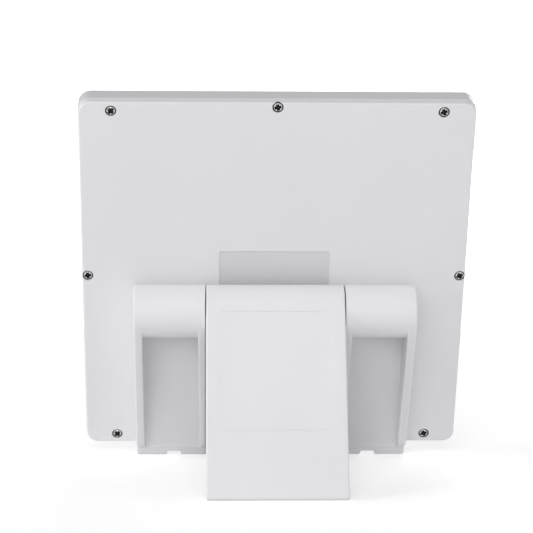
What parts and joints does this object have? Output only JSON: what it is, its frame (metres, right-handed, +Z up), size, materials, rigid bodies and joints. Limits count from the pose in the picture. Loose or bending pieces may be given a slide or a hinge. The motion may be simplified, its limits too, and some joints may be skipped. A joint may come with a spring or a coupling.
{
  "type": "light therapy lamp",
  "caption": "Thin square light therapy panel that leans back on a fold-out prop hinged between two channel legs.",
  "frame": {"origin": "middle of the lamp's box on the surface it stands on", "axes": "+Z up, +Y the way the light shines, +X to the right seen from behind"},
  "size_m": [0.1906, 0.1078, 0.1897],
  "materials": {
    "shell": "white ABS, fine satin grain",
    "frame": "white ABS, satin",
    "stand": "white ABS, satin",
    "diffuser": "opal acrylic, silk",
    "light_guide": "clear acrylic, polished",
    "reflector": "white polyester film",
    "strip": "white circuit board",
    "lamps": "yellow phosphor",
    "board": "green solder mask",
    "board_parts": "black moulded parts",
    "switch": "black moulded switch",
    "button": "white, smooth",
    "socket": "plated sheet steel",
    "leads": "red insulation",
    "screws": "nickel plated",
    "stand_screws": "zinc plated",
    "label": "matt silver foil",
    "pin": "ground",
    "washers": "natural nylon"
  },
  "bodies": {
    "panel": {"front_frame": "frame", "back_cover": "shell", "diffuser": "diffuser", "light_guide": "light_guide", "reflector_sheet": "reflector", "led_strip_left": "strip", "led_chips_left": "lamps", "led_strip_right": "strip", "led_chips_right": "lamps", "control_board": "board", "board_parts": "board_parts", "brightness_switch": "switch", "power_socket": "socket", "led_leads": "leads", "cover_screws": "screws", "stand_screws": "stand_screws", "rating_label": "label", "hinge_pin": "pin", "left_leg": "stand", "hinge_cap_left": "stand", "friction_washer_left": "washers", "right_leg": "stand", "hinge_cap_right": "stand", "friction_washer_right": "washers"},
    "prop": {"prop_leg": "stand"},
    "button": {"power_button": "button"}
  },
  "joints": [
    {"name": "prop_hinge", "type": "hinge", "parent": "panel", "child": "prop", "pos_m": [-0.00025, 0.00042, 0.08142], "axis": [1, 0, 0], "range_deg": [0, 57.5]},
    {"name": "button_press", "type": "slide", "parent": "panel", "child": "button", "axis": [-1, 0, 0], "range_m": [0, 0.0003], "stiffness_N_per_m": 600}
  ]
}
